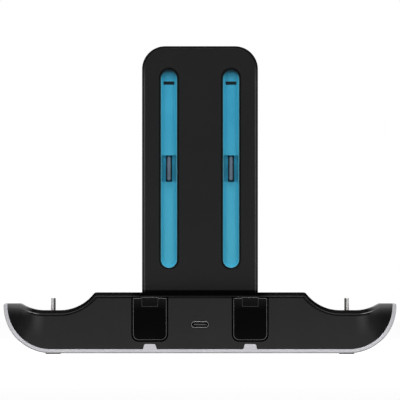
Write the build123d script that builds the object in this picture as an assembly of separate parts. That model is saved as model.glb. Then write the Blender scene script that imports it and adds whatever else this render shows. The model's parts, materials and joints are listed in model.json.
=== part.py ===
from build123d import *
import os

# Charging dock for game controllers. Millimetres, +Z up, origin on the table
# under the middle. The side with the power inlet and the rails faces -Y.

normal_tolerance = 1e-4  # when faces are told apart by where they look

# Base, seen from the inlet side
base_width = 199.0
base_depth = 72.0
deck_height = 31.2  # table to the flat deck under the tower
wing_drop = 5.6  # deck down to the wing tips
end_radius = 24.0  # rounded ends of the tray
tip_radius = 1.2  # outer corner of the tray at each wing tip
tray_wall = 2.0
tray_lift = 0.4  # table to the underside of the tray
tray_edge = 0.5  # bevel of the tray's outer edges
low_corner = 12.0  # corners of the base in plan, at the table
high_corner = 29.0  # the same corners at the deck
corner_overrun = 4.0  # how far those corners run on past the ends
housing_wall = 2.0
hollow_corner = 24.0  # corner cut of the hollow, in plan
deck_edge = 1.8  # bevel along the deck, cradles and wing tips
crest_radius = 2.0  # where a cradle meets the deck or a wing tip
groove_drop = 2.2  # that edge down to the fine groove across the front
groove_width = 0.45
groove_depth = 1.2

# Cradles for two full-size controllers, with an upright charging plug each
cradle_from_end = 24.5  # end of the base to the middle of the cradle
cradle_depth = 3.45  # below the wing tip
cradle_flat = 8.0
cradle_radius = 22.0
plug_from_end = 25.0  # end of the base to the plug
plug_length = 8.25
plug_thickness = 2.4
plug_reach = 6.15  # above the cradle floor
plug_mouth = 4.6  # depth of the hollow in the plug
plug_seat = 4.0  # length held in the riser
metal_wall = 0.3
plug_clearance = 0.15
riser_length = 12.0
riser_width = 6.0

# Power inlet
inlet_width = 8.94
inlet_height = 3.26
inlet_drop = 7.25  # floor of the cradles down to the middle of the inlet
inlet_length = 7.4
inlet_clearance = 0.2
tongue_width = 6.7
tongue_thickness = 0.7
tongue_setback = 0.9
tongue_root = 2.0

# Access covers beside the inlet
cover_spacing = 50.8
cover_width = 17.05
cover_rise = 4.6  # tray seam up to the cover
cover_drop = 2.9  # deck down to the cover
cover_corner = 2.9
cover_gap = 0.85
cover_setback = 0.25  # behind the face of the housing
cover_bevel = 0.35
cover_flange = 1.2  # overlap behind the housing wall, and its thickness
catch_width = 8.4
catch_height = 4.9
catch_rise = 0.5  # above the cover
catch_bevel = 0.3

# Lugs of the tray that show below the covers
lug_top_width = 5.6
lug_foot_width = 6.9
lug_height = 2.6
lug_corner = 0.9
lug_gap = 0.08

# Rim on the tray that locates the housing
rim_length = 88.0
rim_height = 2.0
rim_thickness = 1.2
rim_clearance = 0.2

# Feet
foot_width = 7.5
foot_length = 14.0
foot_from_end = 25.1
foot_inset = 14.0  # from the front or back face
foot_seat = 1.0  # depth of its pocket in the tray

# Circuit board in the base
board_length = 166.0
board_front = -20.0
board_back = 14.0
board_thickness = 1.6
board_neck = 18.0  # width of the part that carries the inlet
board_screw_x = 58.0
board_screw_inset = 5.0  # from the long edges of the board
charger_x = 30.0  # one charge controller, coil and capacitor for each side
charger_size = 7.0
charger_height = 1.2
coil_x = 42.0
coil_size = 6.0
coil_height = 3.5
capacitor_x = 20.0
capacitor_size = 4.0
capacitor_height = 2.5

# Tower
tower_width = 58.8
tower_height = 124.9  # above the deck
tower_depth = 20.0
tower_corner = 11.7
tower_edge = 1.1  # bevel round the front and the back
tower_wall = 2.0
rib_reach = 1.6  # past the parting plane, into the rear shell
rib_root = 3.0  # along the front shell's wall
rib_thickness = 1.0
rib_length = 90.0

# Rails on the tower for the small controllers
rail_from_side = 13.65  # side of the tower to the middle of a rail
rail_opening = 9.9  # width of the window in the tower
rail_low_margin = 11.6  # deck to the window
rail_high_margin = 10.9  # window to the top of the tower
rail_gap = 0.6
rail_collar = 2.4  # depth of the collar behind the tower wall, round each window
collar_wall = 0.9
rail_setback = 1.3  # face of the tower to the lips of the rail
rail_lip = 0.6
rail_lip_bevel = 0.35
rail_depth = 4.8  # face of the tower to the floor of the rail
rail_floor = 1.2
rail_cove = 0.9  # bevel at the foot of the rail's walls
rail_flange = 1.4  # overlap behind the collar, and its thickness
slit_length = 5.6
slit_height = 1.7
slit_from_top = 7.8
well_length = 13.4
well_depth = 1.4
blade_length = 12.5
blade_thickness = 2.2
blade_setback = 1.5  # face of the tower to the tip of the blade
blade_clearance = 0.45
blade_tip = 0.5
contact_count = 10
contact_pitch = 1.0
contact_width = 0.5
contact_thickness = 0.1
contact_reach = 3.0  # along the blade from its tip
magnet_length = 18.0
magnet_width = 5.0
magnet_offset = 28.0  # from the middle of the rail

# Rail board and the ribbon down to the base
rail_board_thickness = 1.2
rail_board_gap = 0.2  # between the wells and the board
rail_board_margin = 1.2  # inside the tower's walls
rail_board_foot = 14.5  # lower edge above the deck
rail_post_offset = 34.0  # from the middle of the rails
header_width = 12.0
header_depth = 4.0
header_height = 5.0
ribbon_width = 9.0
ribbon_thickness = 0.5
ribbon_slot_width = 14.0
ribbon_slot_depth = 6.0

# Screws and the posts that take them, drawn with flat sides
screw_sides = 6
post_diameter = 5.4
head_diameter = 4.4
head_height = 1.5
shank_diameter = 2.2
pilot_clearance = 0.08
hole_clearance = 0.3
tower_screw_length = 8.0
base_screw_length = 10.0
board_screw_length = 7.0
rail_screw_length = 6.0
tower_screw_x = 20.0
tower_screw_y = 5.2
tower_post_height = 8.0
base_post_x = 46.0
base_post_inset = 9.5  # from the front or back face

# Worked out from the sizes above
sides = {"left": -1, "right": 1}
half_width = base_width / 2
half_depth = base_depth / 2
seam = tray_lift + tray_wall
wing_height = deck_height - wing_drop
cradle_x = half_width - cradle_from_end
plug_x = half_width - plug_from_end
cradle_floor = wing_height - cradle_depth
cradle_under = cradle_floor - housing_wall
deck_under = deck_height - housing_wall
front_face = -half_depth
front_inside = front_face + housing_wall
inlet_centre = cradle_floor - inlet_drop
inlet_low = inlet_centre - inlet_height / 2
board_top = inlet_low
board_under = board_top - board_thickness
tower_top = deck_height + tower_height
tower_face = -tower_depth / 2
tower_back = tower_depth / 2
tower_inside = tower_face + tower_wall
rail_low = deck_height + rail_low_margin
rail_high = tower_top - rail_high_margin
rail_length = rail_high - rail_low
rail_middle = (rail_high + rail_low) / 2
rail_x = tower_width / 2 - rail_from_side
rail_lips = tower_face + rail_setback
rail_seat = tower_inside + rail_collar
floor_face = tower_face + rail_depth
floor_back = floor_face + rail_floor
channel_width = rail_opening - 2 * (rail_gap + rail_lip)
well_face = floor_face + well_depth
well_back = well_face + rail_floor
rail_board_face = well_back + rail_board_gap
rail_board_back = rail_board_face + rail_board_thickness
rail_board_low = deck_height + rail_board_foot
ribbon_y = rail_board_back + header_depth / 2
pilot_diameter = shank_diameter + pilot_clearance
hole_diameter = shank_diameter + hole_clearance


def slab(outline, front, back):
    """Extrude a front-view outline between two depths."""
    return extrude(Plane.XZ.offset(-back) * outline, amount=back - front)


def column(outline, low, high):
    """Extrude a plan outline between two heights."""
    return extrude(Pos(0, 0, low) * outline, amount=high - low)


def end_outline(inset):
    """Front view of the base with its rounded ends, up to the deck."""
    low = tray_lift + inset
    block = Rectangle(base_width - 2 * inset, deck_height - low, align=(Align.CENTER, Align.MIN))
    block = Pos(0, low) * block
    return fillet(block.vertices().group_by(Axis.Y)[0], end_radius - inset)


def housing_outline(inset, drop):
    """Front view of the base, inset round its ends and with its top lowered by drop."""
    cradle = SlotCenterToCenter(cradle_flat, 2 * (cradle_radius + drop))
    tip = Rectangle(base_width, deck_height, align=(Align.MIN, Align.MIN))
    right = Pos(cradle_x, cradle_floor + cradle_radius) * cradle
    right += Pos(cradle_x, wing_height - drop) * tip
    above = Rectangle(base_width, deck_height, align=(Align.CENTER, Align.MIN))
    above = Pos(0, deck_height - drop) * above
    return end_outline(inset) - right - mirror(right, Plane.YZ) - above


def plan_block():
    """Plan of the base, with corners that open out upwards."""
    size = (base_width + 2 * corner_overrun, base_depth)
    low = Pos(0, 0, tray_lift) * RectangleRounded(*size, low_corner)
    high = Pos(0, 0, deck_height) * RectangleRounded(*size, high_corner)
    return loft([low, high], ruled=True)


def hollow_block():
    """Plan of the hollow in the housing."""
    plan = Rectangle(base_width + 2 * (corner_overrun - housing_wall), base_depth - 2 * housing_wall)
    return column(chamfer(plan.vertices(), hollow_corner), 0, deck_height)


def crest_points(outline):
    """Corners where the cradles meet the deck and the wing tips."""
    corners = outline.vertices().filter_by(lambda v: v.Y > cradle_floor + cradle_depth / 2)
    return corners.filter_by(lambda v: abs(v.X) < half_width - 2 * tray_wall)


def skirt_faces(block):
    """Faces drawn out straight from front to back."""
    return block.faces().filter_by(lambda f: abs(f.normal_at().Y) < normal_tolerance)


def top_edges(block):
    """Edges along the front and back of the faces that look up."""
    faces = skirt_faces(block).filter_by(lambda f: f.normal_at().Z > normal_tolerance)
    return faces.edges().filter_by(Axis.Y, reverse=True)


def lug_outline(gap):
    """Front view of one tray lug, grown by gap."""
    top = lug_top_width / 2 + gap
    foot = lug_foot_width / 2 + gap
    high = seam + lug_height + gap
    shape = make_face(Polyline((-foot, seam), (-top, high), (top, high), (foot, seam), close=True))
    return fillet(shape.vertices().group_by(Axis.Y)[-1], lug_corner)


def bar(diameter):
    """Section of a screw or post, inside a circle."""
    return RegularPolygon(diameter / 2, screw_sides)


def bore(diameter):
    """Section of a hole, round a circle."""
    return RegularPolygon(diameter / 2, screw_sides, major_radius=False)


def post(x, y, low, high):
    """Screw post with a pilot hole right through."""
    return Pos(x, y) * column(bar(post_diameter) - bore(pilot_diameter), low, high)


def screw(length):
    """Pan-head screw along +Z with its head below the origin."""
    head = column(bar(head_diameter), -head_height, 0)
    return head + column(bar(shank_diameter), 0, length)


def base_posts():
    """Places of the screws that hold the housing to the tray."""
    y = half_depth - base_post_inset
    return [(x, s * y) for x in (-base_post_x, base_post_x) for s in (-1, 1)]


def board_posts():
    """Places of the screws that hold the board to the tray."""
    rows = (board_front + board_screw_inset, board_back - board_screw_inset)
    return [(x, y) for x in (-board_screw_x, board_screw_x) for y in rows]


def tower_posts():
    """Places of the screws that hold the tower to the deck."""
    return [(x, y) for x in (-tower_screw_x, tower_screw_x) for y in (-tower_screw_y, tower_screw_y)]


def foot_places():
    """Names and places of the feet."""
    x = half_width - foot_from_end
    y = half_depth - foot_inset
    rows = {"front": -y, "rear": y}
    return {f"{row}_{side}_foot": (s * x, rows[row]) for row in rows for side, s in sides.items()}


def base_tray():
    outline = end_outline(0) - Pos(0, wing_height) * Rectangle(
        2 * base_width, base_width, align=(Align.CENTER, Align.MIN)
    )
    outline = offset(offset(outline, -tip_radius), tip_radius)  # rounds the tips
    tray = slab(outline, -base_depth, base_depth) & plan_block()
    outer = skirt_faces(tray).filter_by(lambda f: f.center().Z < wing_height - normal_tolerance)
    tray = chamfer(outer.edges().filter_by(Axis.Y, reverse=True), tray_edge)
    tray -= slab(end_outline(tray_wall), -base_depth, base_depth)
    for x in (-cover_spacing / 2, cover_spacing / 2):
        tray += Pos(x) * slab(lug_outline(0), front_face, front_inside)
    rim_y = half_depth - housing_wall - rim_clearance - rim_thickness / 2
    for y in (-rim_y, rim_y):
        tray += Pos(0, y) * column(Rectangle(rim_length, rim_thickness), seam, seam + rim_height)
    for x, y in board_posts():
        tray += post(x, y, seam, board_under)
    for x, y in base_posts():
        tray -= Pos(x, y) * column(bore(hole_diameter), 0, seam)
        tray -= Pos(x, y) * column(bore(head_diameter + hole_clearance), 0, tray_lift + head_height)
    for x, y in foot_places().values():
        tray -= Pos(x, y) * foot()
    return tray


def cover_outline(side_gap, low_gap, high):
    """Front view of an access cover, grown at its sides and foot, up to a height."""
    low = seam + cover_rise - low_gap
    shape = Rectangle(cover_width + 2 * side_gap, high - low, align=(Align.CENTER, Align.MIN))
    shape = Pos(0, low) * shape
    return fillet(shape.vertices().group_by(Axis.Y)[0], cover_corner + low_gap)


def base_housing():
    outline = housing_outline(tray_wall, 0)
    outline = fillet(crest_points(outline), crest_radius)
    housing = slab(outline, -half_depth, half_depth) & plan_block()
    housing = chamfer(top_edges(housing), deck_edge)
    housing -= slab(housing_outline(0, housing_wall), -half_depth, half_depth) & hollow_block()
    groove = housing_outline(tray_wall, groove_drop) - housing_outline(tray_wall, groove_drop + groove_width)
    housing -= slab(groove, front_face, front_face + groove_depth)
    for x, y in base_posts():
        housing += post(x, y, seam, deck_under)
    window = cover_outline(cover_gap, cover_gap, deck_height - groove_drop)
    for x in (-cover_spacing / 2, cover_spacing / 2):
        housing -= Pos(x) * slab(window, front_face, front_inside)
        housing -= Pos(x) * slab(lug_outline(lug_gap), front_face, front_inside)
    grow = 2 * inlet_clearance
    inlet = SlotOverall(inlet_width + grow, inlet_height + grow)
    housing -= slab(Pos(0, inlet_centre) * inlet, front_face, front_inside)
    for side in sides.values():
        housing -= Pos(side * plug_x) * column(plug_hole(), cradle_under, cradle_floor)
    for x, y in tower_posts():
        housing -= Pos(x, y) * column(bore(hole_diameter), deck_under, deck_height)
    slot = Pos(0, ribbon_y) * Rectangle(ribbon_slot_width, ribbon_slot_depth)
    return housing - column(slot, deck_under, deck_height)


def access_cover():
    """Snap-in cover with a raised catch, centred on X."""
    high = deck_height - cover_drop
    face = front_face + cover_setback
    plate = slab(cover_outline(0, 0, high), face, front_inside)
    plate = chamfer(plate.faces().sort_by(Axis.Y)[0].edges(), cover_bevel)
    grow = cover_gap + cover_flange
    low = seam + cover_rise - grow
    flange = Rectangle(cover_width + 2 * grow, high - low, align=(Align.CENTER, Align.MIN))
    plate += slab(Pos(0, low) * flange, front_inside, front_inside + cover_flange)
    catch = Rectangle(catch_width, catch_height, align=(Align.CENTER, Align.MAX))
    catch = slab(Pos(0, high + catch_rise) * catch, front_face, front_inside)
    return plate + chamfer(catch.faces().sort_by(Axis.Y)[0].edges(), catch_bevel)


def power_socket_shell():
    outer = Pos(0, inlet_centre) * SlotOverall(inlet_width, inlet_height)
    inner = Pos(0, inlet_centre) * SlotOverall(inlet_width - 2 * metal_wall, inlet_height - 2 * metal_wall)
    back = front_face + inlet_length
    return slab(outer, front_face, back) - slab(inner, front_face, back - metal_wall)


def power_socket_tongue():
    back = front_face + inlet_length - metal_wall
    inner = Rectangle(inlet_width - inlet_height, inlet_height - 2 * metal_wall)
    root = slab(Pos(0, inlet_centre) * inner, back - tongue_root, back)
    tongue = Pos(0, inlet_centre) * Rectangle(tongue_width, tongue_thickness)
    return root + slab(tongue, front_face + tongue_setback, back)


def plug_hole():
    """Plan of the opening that a plug passes through."""
    return Rectangle(plug_thickness + 2 * plug_clearance, plug_length + 2 * plug_clearance)


def plug_shell():
    """Upright plug shell, open at its tip, centred on X and Y."""
    outer = SlotOverall(plug_length, plug_thickness, rotation=90)
    inner = SlotOverall(plug_length - 2 * metal_wall, plug_thickness - 2 * metal_wall, rotation=90)
    return column(outer - inner, cradle_under - plug_seat, cradle_floor + plug_reach)


def plug_core():
    inner = Rectangle(plug_thickness - 2 * metal_wall, plug_length - plug_thickness)
    return column(inner, cradle_under - plug_seat, cradle_floor + plug_reach - plug_mouth)


def plug_riser():
    """Block on the board that holds a plug up under its cradle."""
    block = column(Rectangle(riser_width, riser_length), board_top, cradle_under)
    return block - column(plug_hole(), cradle_under - plug_seat, cradle_under)


def foot():
    return column(Rectangle(foot_width, foot_length), 0, tray_lift + foot_seat)


def main_board():
    depth = board_back - board_front
    sheet = Pos(0, board_front + depth / 2) * Rectangle(board_length, depth)
    neck_front = front_inside + inlet_clearance
    neck = Rectangle(board_neck, board_front - neck_front, align=(Align.CENTER, Align.MIN))
    sheet += Pos(0, neck_front) * neck
    for x, y in board_posts():
        sheet -= Pos(x, y) * bore(hole_diameter)
    return column(sheet, board_under, board_top)


def board_parts():
    """Ribbon header, charge controllers, coils and capacitors on the board."""
    header = Pos(0, ribbon_y) * Rectangle(header_width, header_depth)
    parts = [column(header, board_top, board_top + header_height)]
    middle = (board_front + board_back) / 2
    sizes = [
        (charger_x, charger_size, charger_height),
        (coil_x, coil_size, coil_height),
        (capacitor_x, capacitor_size, capacitor_height),
    ]
    for side in sides.values():
        for x, size, height in sizes:
            body = column(Rectangle(size, size), board_top, board_top + height)
            parts.append(Pos(side * x, middle) * body)
    return parts


def tower_outline(inset):
    """Front view of the tower, inset all round."""
    low = deck_height + inset
    shape = Rectangle(tower_width - 2 * inset, tower_height - 2 * inset, align=(Align.CENTER, Align.MIN))
    shape = Pos(0, low) * shape
    return fillet(shape.vertices().group_by(Axis.Y)[-1], tower_corner - inset)


def rail_outline(inset):
    """Front view of a rail, inset from the window in the tower."""
    slot = SlotOverall(rail_length - 2 * inset, rail_opening - 2 * inset, rotation=90)
    return Pos(0, rail_middle) * slot


def ribbon_slot():
    slot = Pos(0, ribbon_y) * Rectangle(ribbon_slot_width, ribbon_slot_depth)
    return column(slot, deck_height, deck_height + tower_wall)


def rail_posts():
    """Heights of the screws that hold the rail board."""
    return (rail_middle - rail_post_offset, rail_middle + rail_post_offset)


def tower_half(face, parting, inside):
    """Hollow half of the tower from its face to the parting plane, with bevelled edges."""
    near, far = sorted((face, parting))
    block = slab(tower_outline(0), near, far)
    outer = block.faces().sort_by(Axis.Y)[0 if face < parting else -1]
    block = chamfer(outer.edges(), tower_edge)
    near, far = sorted((inside, parting))
    return block - slab(tower_outline(tower_wall), near, far)


def tower_front_shell():
    shell = tower_half(tower_face, 0, tower_inside)
    rib_x = tower_width / 2 - tower_wall - rib_thickness / 2
    rib = slab(Pos(0, rail_middle) * Rectangle(rib_thickness, rib_length), -rib_root, rib_reach)
    for side in sides.values():
        shell += Pos(side * rib_x) * rib
        shell += Pos(side * rail_x) * slab(rail_outline(-collar_wall), tower_inside, rail_seat)
        shell -= Pos(side * rail_x) * slab(rail_outline(0), tower_face, rail_seat)
    ring = bar(post_diameter) - bore(pilot_diameter)
    for z in rail_posts():
        shell += slab(Pos(0, z) * ring, tower_inside, rail_board_face)
    return tower_foot(shell, -tower_screw_y)


def tower_rear_shell():
    shell = tower_half(tower_back, 0, tower_back - tower_wall)
    return tower_foot(shell, tower_screw_y)


def tower_foot(shell, y):
    """Add the screw posts in the foot of a tower half and open its ribbon slot."""
    floor = deck_height + tower_wall
    for x in (-tower_screw_x, tower_screw_x):
        shell += post(x, y, floor, floor + tower_post_height)
        shell -= Pos(x, y) * column(bore(pilot_diameter), deck_height, floor)
    return shell - ribbon_slot()


def rail_insert():
    """Channel for a small controller, centred on X."""
    rail = slab(rail_outline(rail_gap), rail_lips, floor_back)
    flange = Rectangle(rail_opening + 2 * rail_flange, rail_length + 2 * rail_flange)
    rail += slab(Pos(0, rail_middle) * flange, rail_seat, rail_seat + rail_flange)
    well = Pos(0, rail_middle) * Rectangle(channel_width, well_length)
    rim = Pos(0, rail_middle) * Rectangle(channel_width + 2 * rail_lip, well_length + 2 * rail_lip)
    rail += slab(rim, floor_back, well_back)
    channel = slab(rail_outline(rail_gap + rail_lip), rail_lips, floor_face)
    channel = chamfer(channel.faces().sort_by(Axis.Y)[-1].edges(), rail_cove)
    rail -= channel
    lips = rail.faces().sort_by(Axis.Y)[0].inner_wires()[0].edges()
    rail = chamfer(lips, rail_lip_bevel)
    rail -= slab(well, floor_face - rail_cove, well_face)
    slit = Pos(0, rail_high - slit_from_top) * Rectangle(slit_length, slit_height)
    rail -= slab(slit, floor_face, floor_back)
    grow = 2 * blade_clearance
    slot = Pos(0, rail_middle) * Rectangle(blade_thickness + grow, blade_length + grow)
    return rail - slab(slot, well_face, well_back)


def rail_connector():
    """Upright blade on the rail board, centred on X."""
    blade = Pos(0, rail_middle) * Rectangle(blade_thickness, blade_length)
    body = slab(blade, tower_face + blade_setback, rail_board_face)
    tip = body.faces().sort_by(Axis.Y)[0]
    return chamfer(tip.edges(), blade_tip)


def rail_contacts():
    """Contact strips on both flanks of a blade, centred on X."""
    strips = []
    front = tower_face + blade_setback + blade_tip
    first = rail_middle - (contact_count - 1) / 2 * contact_pitch
    strip = Rectangle(contact_thickness, contact_width, align=(Align.MIN, Align.CENTER))
    for i in range(contact_count):
        place = Pos(blade_thickness / 2, first + i * contact_pitch)
        right = slab(place * strip, front, front + contact_reach)
        strips += [right, mirror(right, Plane.YZ)]
    return strips


def rail_magnets():
    """Bar magnets behind the floor of a rail, centred on X."""
    magnet = Rectangle(magnet_width, magnet_length)
    heights = (rail_middle - magnet_offset, rail_middle + magnet_offset)
    return [slab(Pos(0, z) * magnet, floor_back, rail_board_face) for z in heights]


def rail_board():
    inset = tower_wall + rail_board_margin
    sheet = tower_outline(inset)
    low = Rectangle(tower_width, rail_board_low - deck_height, align=(Align.CENTER, Align.MIN))
    sheet -= Pos(0, deck_height) * low
    for z in rail_posts():
        sheet -= Pos(0, z) * bore(hole_diameter)
    return slab(sheet, rail_board_face, rail_board_back)


def rail_header():
    shape = Rectangle(header_width, header_height, align=(Align.CENTER, Align.MIN))
    return slab(Pos(0, rail_board_low) * shape, rail_board_back, rail_board_back + header_depth)


def tower_ribbon():
    shape = Pos(0, ribbon_y) * Rectangle(ribbon_width, ribbon_thickness)
    return column(shape, board_top + header_height, rail_board_low)


def group(name, solids):
    return Compound(label=name, children=list(solids))


def screws():
    """Screw groups by node name."""
    up = [Pos(x, y, deck_under) * screw(tower_screw_length) for x, y in tower_posts()]
    base = [Pos(x, y, tray_lift + head_height) * screw(base_screw_length) for x, y in base_posts()]
    down = Rot(180, 0, 0) * screw(board_screw_length)
    board = [Pos(x, y, board_top) * down for x, y in board_posts()]
    forward = Rot(90, 0, 0) * screw(rail_screw_length)
    rail = [Pos(0, rail_board_back, z) * forward for z in rail_posts()]
    return {"tower_screws": up, "base_screws": base, "board_screws": board, "rail_board_screws": rail}


def nodes():
    made = {
        "base_tray": base_tray(),
        "base_housing": base_housing(),
        "power_socket_shell": power_socket_shell(),
        "power_socket_tongue": power_socket_tongue(),
        "main_board": main_board(),
        "tower_front_shell": tower_front_shell(),
        "tower_rear_shell": tower_rear_shell(),
        "rail_board": rail_board(),
        "rail_header": rail_header(),
        "tower_ribbon": tower_ribbon(),
    }
    for name, (x, y) in foot_places().items():
        made[name] = Pos(x, y) * foot()
    by_side = {
        "access_cover": (access_cover(), cover_spacing / 2),
        "plug_shell": (plug_shell(), plug_x),
        "plug_core": (plug_core(), plug_x),
        "plug_riser": (plug_riser(), plug_x),
        "rail_insert": (rail_insert(), rail_x),
        "rail_connector": (rail_connector(), rail_x),
    }
    for name, (shape, x) in by_side.items():
        for side, s in sides.items():
            made[f"{side}_{name}"] = Pos(s * x) * shape
    groups = {"board_parts": board_parts(), **screws()}
    for side, s in sides.items():
        place = Pos(s * rail_x)
        groups[f"{side}_rail_contacts"] = [place * strip for strip in rail_contacts()]
        groups[f"{side}_rail_magnets"] = [place * magnet for magnet in rail_magnets()]
    made.update({name: group(name, solids) for name, solids in groups.items()})
    return made


os.makedirs("parts", exist_ok=True)
for node, shape in nodes().items():
    export_step(shape, f"parts/{node}.step")
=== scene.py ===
import bpy
import json
import math
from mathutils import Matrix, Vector


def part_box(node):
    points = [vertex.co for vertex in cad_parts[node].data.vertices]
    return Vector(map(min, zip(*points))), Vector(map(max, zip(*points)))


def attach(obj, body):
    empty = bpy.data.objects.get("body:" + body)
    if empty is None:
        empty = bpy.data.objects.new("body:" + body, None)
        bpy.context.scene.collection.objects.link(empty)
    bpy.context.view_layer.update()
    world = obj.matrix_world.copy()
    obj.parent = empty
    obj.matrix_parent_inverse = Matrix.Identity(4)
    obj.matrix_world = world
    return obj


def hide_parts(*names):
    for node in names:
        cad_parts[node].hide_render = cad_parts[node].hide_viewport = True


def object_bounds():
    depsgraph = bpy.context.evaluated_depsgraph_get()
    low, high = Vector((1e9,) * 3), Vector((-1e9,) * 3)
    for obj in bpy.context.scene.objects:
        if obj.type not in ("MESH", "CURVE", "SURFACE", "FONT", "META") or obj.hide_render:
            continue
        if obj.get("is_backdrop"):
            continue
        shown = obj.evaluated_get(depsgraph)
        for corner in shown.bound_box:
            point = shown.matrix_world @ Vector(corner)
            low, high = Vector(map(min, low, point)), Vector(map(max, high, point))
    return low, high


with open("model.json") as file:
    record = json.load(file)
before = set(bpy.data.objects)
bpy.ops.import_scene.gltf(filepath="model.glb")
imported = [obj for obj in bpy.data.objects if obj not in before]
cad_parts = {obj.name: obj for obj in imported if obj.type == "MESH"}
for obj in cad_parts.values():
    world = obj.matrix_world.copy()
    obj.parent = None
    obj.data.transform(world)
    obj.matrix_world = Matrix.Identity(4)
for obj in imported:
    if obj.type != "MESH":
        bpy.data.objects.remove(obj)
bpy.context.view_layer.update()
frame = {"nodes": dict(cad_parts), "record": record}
nodes = frame["nodes"]
scene = bpy.context.scene
tiny = 1e-6  # metres, for picking edges and faces
upward = 0.99  # least Z of a normal that faces up
print("frame loaded with", len(nodes), "nodes")


def newMaterial(name):  # every finish reads Object coordinates, which are metres in the frame
    mat = bpy.data.materials.new(name)
    mat.use_nodes = True
    tree = mat.node_tree
    tree.nodes.clear()
    out = tree.nodes.new("ShaderNodeOutputMaterial")
    shader = tree.nodes.new("ShaderNodeBsdfPrincipled")
    tree.links.new(shader.outputs["BSDF"], out.inputs["Surface"])
    place = tree.nodes.new("ShaderNodeTexCoord").outputs["Object"]
    return mat, tree, shader, place


def stretched(tree, place, scale):
    mapping = tree.nodes.new("ShaderNodeMapping")
    mapping.inputs["Scale"].default_value = scale
    tree.links.new(place, mapping.inputs["Vector"])
    return mapping.outputs["Vector"]


def noise(tree, place, scale, detail=3.0, rough=0.55):
    tex = tree.nodes.new("ShaderNodeTexNoise")
    tex.inputs["Scale"].default_value = scale
    tex.inputs["Detail"].default_value = detail
    tex.inputs["Roughness"].default_value = rough
    tree.links.new(place, tex.inputs["Vector"])
    return tex.outputs["Fac"]


def ranged(tree, value, fromLow, fromHigh, toLow, toHigh):
    node = tree.nodes.new("ShaderNodeMapRange")
    for key, amount in (("From Min", fromLow), ("From Max", fromHigh), ("To Min", toLow), ("To Max", toHigh)):
        node.inputs[key].default_value = amount
    tree.links.new(value, node.inputs["Value"])
    return node.outputs["Result"]


def combined(tree, kind, first, second):
    node = tree.nodes.new("ShaderNodeMath")
    node.operation = kind
    for i, value in enumerate((first, second)):
        if isinstance(value, float):
            node.inputs[i].default_value = value
        else:
            tree.links.new(value, node.inputs[i])
    return node.outputs["Value"]


def product(tree, first, *others):
    for other in others:
        first = combined(tree, "MULTIPLY", first, other)
    return first


def mixed(tree, factor, colorA, colorB):
    node = tree.nodes.new("ShaderNodeMix")
    node.data_type = "RGBA"
    tree.links.new(factor, node.inputs["Factor"])
    for key, color in (("A", colorA), ("B", colorB)):
        socket = [s for s in node.inputs if s.name == key and s.type == "RGBA"][0]
        if isinstance(color, tuple):
            socket.default_value = (*color, 1)
        else:
            tree.links.new(color, socket)
    return [s for s in node.outputs if s.type == "RGBA"][0]


def axes(tree, place):  # distance from the middle of the dock, then Y and Z
    split = tree.nodes.new("ShaderNodeSeparateXYZ")
    tree.links.new(place, split.inputs["Vector"])
    return combined(tree, "ABSOLUTE", split.outputs["X"], 0.0), split.outputs["Y"], split.outputs["Z"]


def between(tree, value, low, high, blur):  # 1 between low and high
    inner = ranged(tree, value, low - blur, low, 0, 1)
    return combined(tree, "MINIMUM", inner, ranged(tree, value, high, high + blur, 1, 0))


def edgeHighlightLine(tree, place, edge):  # painted highlight line along the upright edges of the tower
    across, _, high = axes(tree, place)
    line = between(tree, across, edge["from"], edge["to"], edge["blur"])
    return product(tree, line, ranged(tree, high, edge["fade"], edge["end"], 1, 0))


def rimDrop(tree, across, high, rim):  # depth below the outline of deck, cradles and tips
    off = combined(tree, "ABSOLUTE", combined(tree, "SUBTRACT", across, rim["x"]), 0.0)
    past = combined(tree, "MAXIMUM", combined(tree, "SUBTRACT", off, rim["flat"]), 0.0)
    inside = combined(tree, "SUBTRACT", rim["radius"] ** 2, product(tree, past, past))
    chord = combined(tree, "SQRT", combined(tree, "MAXIMUM", inside, 0.0), 0.0)
    curve = combined(tree, "SUBTRACT", rim["floor"] + rim["radius"], chord)
    level = ranged(tree, across, rim["x"] - rim["blur"], rim["x"] + rim["blur"], rim["deck"], rim["tip"])
    return combined(tree, "SUBTRACT", combined(tree, "MINIMUM", curve, level), high)


def rimCoats(tree, place, rim):  # masks of painted light and shade on the front of the housing, in the order they are laid on
    across, deep, high = axes(tree, place)
    drop = rimDrop(tree, across, high, rim)
    front = ranged(tree, deep, *rim["front"], 1, 0)
    tips = product(tree, ranged(tree, across, *rim["tips"], 0, 1), front)
    body = combined(tree, "SUBTRACT", front, tips)
    stripTop, grooveTop = rim["strip"][0], rim["groove"][0]
    patch = product(tree, between(tree, across, *rim["patchX"], rim["patchBlur"]), front,
                    ranged(tree, high, *rim["patchZ"], 0, 1), ranged(tree, drop, *rim["groove"], 0, 1))
    bevel = product(tree, between(tree, drop, rim["above"], stripTop, rim["blur"]), body)
    shade = product(tree, between(tree, drop, rim["above"], grooveTop, rim["blur"]), front,
                    ranged(tree, across, *rim["shade"], 1, 0))
    strip = product(tree, between(tree, drop, *rim["strip"], rim["stripBlur"]), front,
                    ranged(tree, across, *rim["shade"], 0, 1))
    sunk = combined(tree, "ADD", drop, combined(tree, "SUBTRACT", rim["tip"], high))
    sheen = combined(tree, "POWER", ranged(tree, sunk, 0, 2 * rim["sheenDrop"], 1, 0), rim["sheenCurve"])
    sheen = product(tree, sheen, tips)
    glint = product(tree, strip, between(tree, across, *rim["glint"], rim["glintBlur"]))
    groove = product(tree, between(tree, drop, *rim["groove"], rim["blur"]), body)
    return {"patch": patch, "bevel": bevel, "shade": shade, "strip": strip, "sheen": sheen, "glint": glint,
            "groove": groove}


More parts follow.
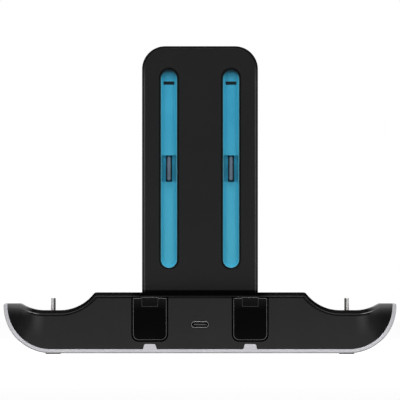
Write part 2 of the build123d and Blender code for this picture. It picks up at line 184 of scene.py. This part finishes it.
def slotReach(tree, across, high, slot):  # distance from the middle line of the upright windows
    side = combined(tree, "SUBTRACT", across, slot["x"])
    along = combined(tree, "ABSOLUTE", combined(tree, "SUBTRACT", high, slot["z"]), 0.0)
    past = combined(tree, "MAXIMUM", combined(tree, "SUBTRACT", along, slot["half"]), 0.0)
    both = combined(tree, "ADD", product(tree, side, side), product(tree, past, past))
    return combined(tree, "SQRT", both, 0.0)


def railCoats(tree, place, rail):  # masks of painted light and shade on the blue channels, in the order they are laid on
    across, deep, high = axes(tree, place)
    reach = slotReach(tree, across, high, rail["window"])
    lipEnd = rail["lip"][1]
    return {
        "low": ranged(tree, high, *rail["low"], 1, 0),
        "well": ranged(tree, deep, *rail["well"], 0, 1),
        "wall": ranged(tree, reach, *rail["wall"], 0, 1),
        "lip": between(tree, reach, *rail["lip"], rail["blur"]),
        "gap": ranged(tree, reach, lipEnd, lipEnd + rail["blur"], 0, 1),
        "dusk": ranged(tree, slotReach(tree, across, high, rail["shaded"]), *rail["dusk"], 0, 1),
    }


surface = {
    "span": (0.3, 0.7), "roughScale": 0.3, "grainDepth": 0.00008, "grainDetail": 2.0, "streakDetail": 4.0,
    "shelter": (0.3, 0.6), "samples": 6,
}


def grained(tree, shader, place, look):
    bump = tree.nodes.new("ShaderNodeBump")
    bump.inputs["Strength"].default_value = look["bump"]
    bump.inputs["Distance"].default_value = surface["grainDepth"]
    tree.links.new(noise(tree, place, look["grain"], surface["grainDetail"]), bump.inputs["Height"])
    if look["soften"]:  # edges drawn slightly rounded
        bevel = tree.nodes.new("ShaderNodeBevel")
        bevel.samples = surface["samples"]
        bevel.inputs["Radius"].default_value = look["soften"]
        tree.links.new(bevel.outputs["Normal"], bump.inputs["Normal"])
    tree.links.new(bump.outputs["Normal"], shader.inputs["Normal"])


def plastic(name, look):
    mat, tree, shader, place = newMaterial(name)
    cloud = ranged(tree, noise(tree, place, look["cloud"]), *surface["span"], 0, 1)
    color = mixed(tree, cloud, look["dark"], look["light"])
    if "edge" in look:  # a painted highlight line along the upright edges
        color = mixed(tree, edgeHighlightLine(tree, place, look["edge"]), color, look["burnish"])
    if "topLight" in look:  # painted highlight, paler near the top edge
        color = mixed(tree, ranged(tree, axes(tree, place)[2], *look["topLight"], 0, 1), color, look["topLightColor"])
    rim, rail = look.get("rim"), look.get("rail")
    if rim:  # painted light and shade: light patch, dark bevel, light strip, sheen on the tips, dark groove
        coats = rimCoats(tree, place, rim)
        for key, mask in coats.items():
            color = mixed(tree, mask, color, rim["colors"][key])
    if rail:  # painted light and shade: lighter low down, on walls and lips and in the wells, dark in the gap and a painted shadow under the top end
        for key, mask in railCoats(tree, place, rail).items():
            color = mixed(tree, mask, color, rail["colors"][key])
    tree.links.new(color, shader.inputs["Base Color"])
    fine = noise(tree, place, look["grain"] * surface["roughScale"])
    rough = ranged(tree, fine, *surface["span"], *look["rough"])
    if "cavity" in look:  # dull inside fine grooves
        shelter = tree.nodes.new("ShaderNodeAmbientOcclusion")
        shelter.samples = surface["samples"]
        shelter.inputs["Distance"].default_value = look["cavity"]
        dullAndShade = ranged(tree, shelter.outputs["AO"], *surface["shelter"], 1, 0)
        rough = combined(tree, "MAXIMUM", rough, dullAndShade)
    if rim:
        rough = product(tree, rough, ranged(tree, coats["shade"], 0, 1, 1, rim["shadeRough"]))
        rough = combined(tree, "MAXIMUM", rough, product(tree, coats["groove"], rim["grooveRough"]))
    tree.links.new(rough, shader.inputs["Roughness"])
    shader.inputs["Specular IOR Level"].default_value = look["specular"]
    grained(tree, shader, place, look)
    return mat


def grey(level):
    return level, level, level


blackLook = {
    "dark": (0.0034, 0.0034, 0.0038), "light": (0.0046, 0.0046, 0.005), "cloud": 40, "grain": 2600,
    "rough": (0.28, 0.36), "specular": 0.46, "bump": 0.2, "soften": 0.00015, "cavity": 0.0012,
}
towerLook = dict(
    blackLook, dark=(0.0028, 0.0028, 0.0033), light=(0.0038, 0.0038, 0.0044), specular=0.39,
    # a painted highlight line along the upright edges of the tower
    burnish=(0.045, 0.045, 0.046),
    edge={"from": 0.028, "to": 0.0282, "blur": 0.0002, "fade": 0.138, "end": 0.149},
)
housingLook = dict(blackLook, soften=0, specular=0.43, rim={
    "x": 0.075, "flat": 0.004, "radius": 0.022, "floor": 0.02215, "deck": 0.0312, "tip": 0.0256,  # outline
    "front": (-0.012, -0.008), "above": -0.001, "blur": 0.0001, "tips": (0.0848, 0.0882),
    "strip": (0.0018, 0.0022), "stripBlur": 0.00005, "groove": (0.0022, 0.0030), "grooveRough": 0.9,
    "glint": (0.0828, 0.0866), "glintBlur": 0.0018, "shade": (0.0295, 0.0365), "shadeRough": 0.3,
    "sheenDrop": 0.0085, "sheenCurve": 3.8,
    "patchX": (0.0815, 0.0827), "patchBlur": 0.003, "patchZ": (0.0085, 0.0175),
    # painted light and shade on the front: patch, strip, sheen and glint are painted highlights, bevel, shade
    # and groove painted shade
    "colors": {
        "patch": (0.018, 0.018, 0.0185), "bevel": grey(0.001), "shade": grey(0.001), "strip": grey(0.028),
        "sheen": grey(0.155), "glint": grey(0.16), "groove": grey(0.0006)},
})
coverLook = dict(blackLook, dark=(0.0008, 0.0008, 0.001), light=(0.0012, 0.0012, 0.0015), rough=(0.2, 0.28),
                 specular=0.035, bump=0.05, soften=0)
# the panels are paler near their top: a painted highlight
panelLook = dict(coverLook, topLight=(0.0226, 0.0282), topLightColor=(0.0065, 0.0065, 0.0062))
# the rounded front edges of the covers: lighter grey, a painted highlight, and glossier
coverEdgeHighlightLook = dict(coverLook, dark=(0.06, 0.06, 0.061), light=(0.075, 0.075, 0.076), specular=0.5)
# the rounded front edges of the catches: lighter grey, a painted highlight, paler still along the top edge,
# also a painted highlight
catchEdgeHighlightLook = dict(coverLook, dark=grey(0.022), light=grey(0.028), specular=0.4, topLight=(0.0284, 0.0286),
                 topLightColor=grey(0.085))
whiteLook = {
    "dark": (0.445, 0.44, 0.465), "light": (0.495, 0.49, 0.515), "cloud": 30, "grain": 2200,
    "rough": (0.38, 0.5), "specular": 0.4, "bump": 0.2, "soften": 0.0004,
}
blueLook = {
    "dark": (0.024, 0.27, 0.42), "light": (0.034, 0.31, 0.47), "cloud": 60, "grain": 2400,
    "rough": (0.36, 0.46), "specular": 0.4, "bump": 0.15, "soften": 0.00015,
    "rail": {
        "window": {"x": 0.01575, "z": 0.0937, "half": 0.04595},
        "shaded": {"x": 0.01575, "z": 0.09305, "half": 0.0453},
        "low": (0.06, 0.12), "well": (-0.0049, -0.0045), "wall": (0.0024, 0.0034), "lip": (0.0037, 0.00405),
        "dusk": (0.0037, 0.0056), "blur": 0.0001,
        # painted light and shade on the channels: lighter low down, on walls, lips and wells; painted shade
        # in the gap and a painted shadow under the top end
        "colors": {
            "low": (0.048, 0.345, 0.485), "well": (0.03, 0.42, 0.66), "wall": (0.032, 0.34, 0.51),
            "lip": (0.075, 0.33, 0.44), "gap": (0.001, 0.006, 0.008), "dusk": (0.001, 0.006, 0.008)}},
}
bladeLook = {
    "dark": (0.062, 0.09, 0.12), "light": (0.088, 0.12, 0.158), "cloud": 200, "grain": 3000,
    "rough": (0.3, 0.4), "specular": 0.4, "bump": 0.1, "soften": 0.0002,
}
# dark navy on the rounded front edges of the blades: painted shade
shoulderShadeLook = dict(bladeLook, dark=(0.008, 0.03, 0.055), light=(0.011, 0.04, 0.07), specular=0.3)
innerLook = dict(blackLook, light=(0.02, 0.02, 0.021), specular=0.3, soften=0)
tongueLook = dict(innerLook, dark=(0.06, 0.06, 0.061), light=(0.08, 0.08, 0.081))
# very dark green board, darkened so that the slits show painted shade
boardLook = dict(blackLook, dark=(0.004, 0.022, 0.024), light=(0.007, 0.032, 0.034), soften=0, grain=1500)
ribbonLook = dict(blackLook, dark=(0.3, 0.3, 0.31), light=(0.36, 0.36, 0.37), soften=0)
rubberLook = dict(blackLook, dark=grey(0.012), light=grey(0.02), rough=(0.6, 0.8), specular=0.2, bump=0.4,
                  grain=1800, soften=0)


def metal(name, look):
    mat, tree, shader, place = newMaterial(name)
    lines = stretched(tree, place, look["stretch"])
    streaks = noise(tree, lines, look["streak"], surface["streakDetail"])
    color = mixed(tree, ranged(tree, streaks, *surface["span"], 0, 1), look["dark"], look["light"])
    if "shadeBand" in look:  # painted shade, darker towards the middle of the dock
        color = mixed(tree, ranged(tree, axes(tree, place)[0], *look["shadeBand"], 1, 0), color, look["dullAndShade"])
    tree.links.new(color, shader.inputs["Base Color"])
    tree.links.new(ranged(tree, streaks, *surface["span"], *look["rough"]), shader.inputs["Roughness"])
    shader.inputs["Metallic"].default_value = look["metallic"]
    return mat


steelLook = {
    "dark": (0.5, 0.48, 0.47), "light": (0.58, 0.56, 0.55), "streak": 900, "stretch": (1, 1, 0.06),
    "rough": (0.24, 0.3), "metallic": 1.0,
}
# plugs: a painted shade on the side towards the middle of the dock
plugLook = dict(steelLook, dark=(0.86, 0.84, 0.82), light=(0.95, 0.93, 0.92), metallic=0.6,
                shadeBand=(0.0739, 0.0746), dullAndShade=(0.12, 0.118, 0.116))
# near-black steel inside the power inlet: painted shade
socketShadeLook = dict(steelLook, dark=grey(0.012), light=grey(0.02), stretch=(1, 0.06, 1), rough=(0.3, 0.4))
lipLook = dict(steelLook, dark=grey(0.42), light=grey(0.5), rough=(0.5, 0.6))
screwLook = dict(steelLook, dark=(0.35, 0.35, 0.36), light=(0.5, 0.5, 0.51))
brassLook = dict(steelLook, dark=(0.22, 0.16, 0.07), light=(0.32, 0.24, 0.1))
magnetLook = dict(steelLook, dark=(0.4, 0.4, 0.41), light=(0.55, 0.55, 0.56), stretch=(1, 1, 1))

finishes = {
    "black_plastic": plastic("satinBlack", blackLook),
    "cover_black": plastic("coverBlack", panelLook),
    "white_plastic": plastic("coolWhite", whiteLook),
    "blue_plastic": plastic("railBlue", blueLook),
    "grey_plastic": plastic("bladeGrey", bladeLook),
    "dark_plastic": plastic("innerBlack", innerLook),
    "plug_steel": metal("drawnSteel", plugLook),
    "screw_steel": metal("screwSteel", screwLook),
    "contact_brass": metal("contactBrass", brassLook),
    "magnet_steel": metal("magnetPlate", magnetLook),
    "board_green": plastic("boardGreen", boardLook),
    "ribbon_grey": plastic("ribbonGrey", ribbonLook),
    "foot_rubber": plastic("footRubber", rubberLook),
}
towerBlack = plastic("towerBlack", towerLook)
socketShade = metal("socketShade", socketShadeLook)
lipSteel = metal("lipSteel", lipLook)
coverEdgeHighlight = plastic("coverEdgeHighlight", coverEdgeHighlightLook)
catchEdgeHighlight = plastic("catchEdgeHighlight", catchEdgeHighlightLook)
tongueGrey = plastic("tongueGrey", tongueLook)
shoulderShade = plastic("shoulderShade", shoulderShadeLook)
ownFinish = {
    "base_housing": plastic("housingBlack", housingLook),
    "tower_front_shell": towerBlack,
    "tower_rear_shell": towerBlack,
}
slotOf = {row["node"]: row["material_slot"] for row in frame["record"]["subparts"]}
for name, node in nodes.items():
    node.data.materials.clear()
    node.data.materials.append(ownFinish.get(name, finishes[slotOf[name]]))
print("finishes on", len(nodes), "nodes")


def objectMode():
    bpy.ops.object.mode_set(mode="OBJECT")


def deselect():
    bpy.ops.object.select_all(action="DESELECT")


def choose(*pieces):
    deselect()
    for piece in pieces:
        piece.select_set(True)
    bpy.context.view_layer.objects.active = pieces[0]


def pick(piece, kind, test):  # ends in edit mode with the chosen cells selected
    choose(piece)
    bpy.ops.object.mode_set(mode="EDIT")
    bpy.ops.mesh.select_mode(type=kind)
    bpy.ops.mesh.select_all(action="DESELECT")
    objectMode()
    mesh = piece.data
    if kind == "FACE":
        for face in mesh.polygons:
            face.select = test(face.center, face.normal)
    elif kind == "EDGE":
        for edge in mesh.edges:
            edge.select = test(*(mesh.vertices[i].co for i in edge.vertices))
    else:
        for point in mesh.vertices:
            point.select = test(point.co)
    bpy.ops.object.mode_set(mode="EDIT")


def roundEdges(piece, test, offset, steps, finish=-1):  # finish: material index of the new faces
    pick(piece, "EDGE", test)
    bpy.ops.mesh.bevel(offset=offset, segments=steps, affect="EDGES", material=finish)
    objectMode()


def applied(piece):
    choose(piece)
    bpy.ops.object.transform_apply(location=True, rotation=True, scale=True)
    return piece


def block(name, low, high):  # a plain block between two corners, to be shaped further
    deselect()
    bpy.ops.mesh.primitive_cube_add(size=1, location=[(a + b) / 2 for a, b in zip(low, high)])
    piece = bpy.context.object
    piece.name = name
    piece.scale = [b - a for a, b in zip(low, high)]
    return applied(piece)


def joined(name, pieces):
    choose(*pieces)
    bpy.ops.object.join()
    piece = bpy.context.object
    piece.name = name
    return piece


def painted(piece, *coats):
    for coat in coats:
        piece.data.materials.append(coat)
    return piece


def smoothed(piece, degrees):
    choose(piece)
    bpy.ops.object.shade_smooth_by_angle(angle=math.radians(degrees))
    return piece


def settle(piece, slot, *replaced):
    applied(piece)
    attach(piece, "root")
    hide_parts(*replaced)


def ovalSleeve(name, size, *coats):  # upright, on the origin, open at its top
    deselect()
    thick, tall = size["thick"], size["tall"]
    bpy.ops.mesh.primitive_cylinder_add(
        vertices=size["sides"], radius=thick / 2, depth=tall, location=(0, 0, tall / 2))
    piece = applied(painted(bpy.context.object, *coats))
    piece.name = name
    for side in (-1, 1):  # pull the two half rounds apart
        pick(piece, "VERT", lambda p: p.y * side > tiny)
        bpy.ops.transform.translate(value=(0, side * (size["long"] - thick) / 2, 0))
        objectMode()
    atTop = tall - tiny
    roundEdges(piece, lambda a, b: min(a.z, b.z) > atTop, size["lip"], size["lipSteps"], len(coats) - 1)
    pick(piece, "FACE", lambda c, n: n.z > upward and c.z > atTop)
    bpy.ops.mesh.inset(thickness=size["wall"] - size["lip"])
    bpy.ops.mesh.extrude_region_move(TRANSFORM_OT_translate={"value": (0, 0, -size["mouth"])})
    objectMode()
    return smoothed(piece, size["smooth"])


plugSize = {"wall": 0.0003, "lip": 0.0002, "lipSteps": 3, "mouth": 0.0046, "sides": 48, "smooth": 35}
for side in ("left", "right"):
    low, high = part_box(side + "_plug_shell")
    size = dict(plugSize, thick=high.x - low.x, long=high.y - low.y, tall=high.z - low.z)
    sleeve = ovalSleeve(side + "PlugSleeve", size, finishes["plug_steel"])
    sleeve.location = ((low.x + high.x) / 2, (low.y + high.y) / 2, low.z)
    settle(sleeve, "plug_steel", side + "_plug_shell")
print("plug sleeves modelled")

inletSize = {
    "wall": 0.0003, "lip": 0.00025, "lipSteps": 3, "mouth": 0.0071, "sides": 64, "smooth": 35,
    "bladeHalf": 0.00035, "bladeEdge": 0.00018, "bladeSteps": 3,  # tongue
    "rootHalf": 0.00284, "rootDeep": 0.002, "rootEdge": 0.0003, "rootSteps": 2,
}
low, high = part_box("power_socket_shell")
size = dict(inletSize, thick=high.z - low.z, long=high.x - low.x, tall=high.y - low.y)
collar = ovalSleeve("inletCollar", size, socketShade, lipSteel)
for turn in ((0, 0, math.pi / 2), (math.pi / 2, 0, 0)):  # long side level, then the mouth to the front
    collar.rotation_euler = turn
    applied(collar)
collar.location = (0, high.y, (low.z + high.z) / 2)
settle(collar, "plug_steel", "power_socket_shell")

low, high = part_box("power_socket_tongue")
middle = (low.z + high.z) / 2
rootFront = high.y - inletSize["rootDeep"]
rootHalf, bladeHalf = inletSize["rootHalf"], inletSize["bladeHalf"]
tongue = block("tongueBlade", (low.x, low.y, middle - bladeHalf), (high.x, high.y, middle + bladeHalf))
roundEdges(tongue, lambda a, b: max(a.y, b.y) < low.y + tiny, inletSize["bladeEdge"], inletSize["bladeSteps"])
root = block("tongueRoot", (-rootHalf, rootFront, low.z), (rootHalf, high.y, high.z))
roundEdges(root, lambda a, b: max(a.y, b.y) < rootFront + tiny, inletSize["rootEdge"], inletSize["rootSteps"])
tongue = smoothed(joined("inletTongue", [tongue, root]), inletSize["smooth"])
settle(painted(tongue, tongueGrey), "dark_plastic", "power_socket_tongue")
print("power inlet modelled")

bladeSize = {"end": 0.00105, "endSteps": 6, "shoulder": 0.0004, "shoulderSteps": 3, "smooth": 40}
for side in ("left", "right"):
    low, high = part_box(side + "_rail_connector")
    blade = painted(block(side + "Blade", low, high), finishes["grey_plastic"], shoulderShade)
    roundEdges(blade, lambda a, b: abs(a.y - b.y) > tiny, bladeSize["end"], bladeSize["endSteps"])
    roundEdges(blade, lambda a, b: max(a.y, b.y) < low.y + tiny, bladeSize["shoulder"],
               bladeSize["shoulderSteps"], 1)
    settle(smoothed(blade, bladeSize["smooth"]), "grey_plastic", side + "_rail_connector")
print("blades modelled")

coverSize = {
    "width": 0.01705, "corner": 0.0029, "cornerSteps": 10, "edge": 0.00032, "edgeSteps": 4,
    "setback": 0.00025, "smooth": 40,
    "flange": 0.0012, "flangeCorner": 0.002, "flangeSteps": 4,  # flange behind the wall
    "catchWidth": 0.0084, "catchHeight": 0.0049, "catchRise": 0.0005, "catchEdge": 0.00028,
}


def accessPanel(side):
    low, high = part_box(side + "_access_cover")
    black = finishes["cover_black"]
    middle = (low.x + high.x) / 2
    half = coverSize["width"] / 2
    foot = low.z + (high.x - low.x) / 2 - half  # the flange stands out as far below as at the sides
    top = high.z - coverSize["catchRise"]
    face = low.y + coverSize["setback"]
    inside = high.y - coverSize["flange"]
    plate = block("plate", (middle - half, face, foot), (middle + half, inside, top))
    painted(plate, black, coverEdgeHighlight)
    roundEdges(plate, lambda a, b: abs(a.y - b.y) > tiny and max(a.z, b.z) < foot + tiny, coverSize["corner"],
               coverSize["cornerSteps"])
    roundEdges(plate, lambda a, b: max(a.y, b.y) < face + tiny, coverSize["edge"], coverSize["edgeSteps"], 1)
    flange = painted(block("flange", (low.x, inside, low.z), (high.x, high.y, top)), black)
    roundEdges(flange, lambda a, b: abs(a.y - b.y) > tiny, coverSize["flangeCorner"],
               coverSize["flangeSteps"])
    halfCatch = coverSize["catchWidth"] / 2
    catch = block("catch", (middle - halfCatch, low.y, high.z - coverSize["catchHeight"]),
                  (middle + halfCatch, inside, high.z))
    painted(catch, black, catchEdgeHighlight)
    roundEdges(catch, lambda a, b: max(a.y, b.y) < low.y + tiny, coverSize["catchEdge"],
               coverSize["edgeSteps"], 1)
    panel = smoothed(joined(side + "AccessPanel", [plate, flange, catch]), coverSize["smooth"])
    settle(panel, "cover_black", side + "_access_cover")


for side in ("left", "right"):
    accessPanel(side)
print("access covers modelled")

footSize = {"corner": 0.0016, "cornerSteps": 6, "edge": 0.00025, "edgeSteps": 3, "smooth": 40}
for row in ("front", "rear"):
    for side in ("left", "right"):
        node = row + "_" + side + "_foot"
        low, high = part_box(node)
        foot = block(row + side.capitalize() + "Pad", low, high)
        roundEdges(foot, lambda a, b: abs(a.z - b.z) > tiny, footSize["corner"], footSize["cornerSteps"])
        roundEdges(foot, lambda a, b: max(a.z, b.z) < low.z + tiny, footSize["edge"], footSize["edgeSteps"])
        smoothed(foot, footSize["smooth"])
        settle(painted(foot, finishes["foot_rubber"]), "foot_rubber", node)
print("feet modelled")

studio = {
    "floorHalf": 9.0, "floorGlow": 0.92, "floorShare": 0.28, "floorFront": 0.12, "floorFade": (-0.5, 0.0),
    "fill": 0.22, "bright": 0.2, "dim": 0.75, "dimLevel": 0.05,
    "ring": ((0.0, 0.49), (0.012, 0.43), (0.04, 0.05), (0.62, 0.04), (0.8, 1.0)),  # front, sides, back
    "aim": (0.0, 0.0, 0.07),
    "keyPlace": (0.0, -1.35, 1.75), "keySize": (1.6, 0.9), "keyPower": 30,
    "sideX": 1.07, "sideY": -1.28, "sideZ": 0.38, "sideSize": (0.9, 0.9), "sidePower": 14,
    "backPlace": (0.0, 1.7, 0.9), "backPower": 22,
}


def seenRays(tree):  # camera rays, then glossy and transmission rays
    light = tree.nodes.new("ShaderNodeLightPath").outputs
    mirrored = combined(tree, "MAXIMUM", light["Is Glossy Ray"], light["Is Transmission Ray"])
    return light["Is Camera Ray"], mirrored


def makeFloor():
    deselect()
    bpy.ops.mesh.primitive_plane_add(size=2 * studio["floorHalf"], location=(0, 0, 0))
    floor = bpy.context.object
    floor.name = "studioFloor"
    mat = bpy.data.materials.new("paleFloor")
    mat.use_nodes = True
    tree = mat.node_tree
    tree.nodes.clear()
    out = tree.nodes.new("ShaderNodeOutputMaterial")
    matt = tree.nodes.new("ShaderNodeBsdfDiffuse")
    matt.inputs["Color"].default_value = (*grey(studio["floorShare"]), 1)
    glow = tree.nodes.new("ShaderNodeEmission")
    direct, mirrored = seenRays(tree)
    deep = axes(tree, tree.nodes.new("ShaderNodeTexCoord").outputs["Object"])[1]
    behind = ranged(tree, deep, *studio["floorFade"], studio["floorFront"], 1)
    seen = combined(tree, "MAXIMUM", direct, product(tree, mirrored, behind))
    tree.links.new(product(tree, seen, studio["floorGlow"]), glow.inputs["Strength"])
    add = tree.nodes.new("ShaderNodeAddShader")
    tree.links.new(matt.outputs["BSDF"], add.inputs[0])
    tree.links.new(glow.outputs["Emission"], add.inputs[1])
    tree.links.new(add.outputs["Shader"], out.inputs["Surface"])
    floor.data.materials.append(mat)
    floor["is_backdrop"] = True


def makeWorld():
    world = bpy.data.worlds.new("studioWorld")
    scene.world = world
    world.use_nodes = True
    tree = world.node_tree
    tree.nodes.clear()
    out = tree.nodes.new("ShaderNodeOutputWorld")
    back = tree.nodes.new("ShaderNodeBackground")
    fill = tree.nodes.new("ShaderNodeBackground")
    fill.inputs["Strength"].default_value = studio["fill"]
    _, deep, high = axes(tree, tree.nodes.new("ShaderNodeTexCoord").outputs["Generated"])
    height = ranged(tree, high, studio["bright"], studio["dim"], 1, studio["dimLevel"])
    ring = tree.nodes.new("ShaderNodeValToRGB")
    stops = ring.color_ramp.elements
    while len(stops) < len(studio["ring"]):
        stops.new(0.5)
    for stop, (where, level) in zip(stops, studio["ring"]):
        stop.position = where
        stop.color = (*grey(level), 1)
    tree.links.new(ranged(tree, deep, -1, 1, 0, 1), ring.inputs["Fac"])
    direct, mirrored = seenRays(tree)
    studioWall = product(tree, height, ring.outputs["Color"])
    tree.links.new(combined(tree, "MAXIMUM", direct, studioWall), back.inputs["Color"])
    mix = tree.nodes.new("ShaderNodeMixShader")
    tree.links.new(combined(tree, "MAXIMUM", direct, mirrored), mix.inputs["Fac"])
    tree.links.new(fill.outputs["Background"], mix.inputs[1])
    tree.links.new(back.outputs["Background"], mix.inputs[2])
    tree.links.new(mix.outputs["Shader"], out.inputs["Surface"])


def placed(name, data, place, aim):
    holder = bpy.data.objects.new(name, data)
    scene.collection.objects.link(holder)
    holder.location = place
    holder.rotation_euler = (Vector(aim) - Vector(place)).to_track_quat("-Z", "Y").to_euler()
    return holder


def softbox(name, place, size, power):
    lamp = bpy.data.lights.new(name, "AREA")
    lamp.shape = "RECTANGLE"
    lamp.size, lamp.size_y = size
    lamp.energy = power
    return placed(name, lamp, place, studio["aim"])


makeFloor()
makeWorld()
softbox("keyLight", studio["keyPlace"], studio["keySize"], studio["keyPower"])
lamps = [softbox("backLight", studio["backPlace"], studio["keySize"], studio["backPower"])]
for side in (-1, 1):
    place = (side * studio["sideX"], studio["sideY"], studio["sideZ"])
    lamps.append(softbox("sideLight", place, studio["sideSize"], studio["sidePower"]))
for lamp in lamps:
    lamp.visible_glossy = False  # soft light only, no streaks
print("studio set")

view = {"distance": 8.0, "height": 0.031, "aimHeight": 0.0781, "width": 0.2032, "sensor": 36.0, "clip": 60}
camera = bpy.data.cameras.new("photoCamera")
camera.sensor_width = view["sensor"]
camera.lens = view["sensor"] * view["distance"] / view["width"]
camera.clip_end = view["clip"]
eyePlace = (0, -view["distance"], view["height"])
scene.camera = placed("photoCamera", camera, eyePlace, (0, 0, view["aimHeight"]))
scene.view_settings.view_transform = "Standard"

low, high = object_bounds()
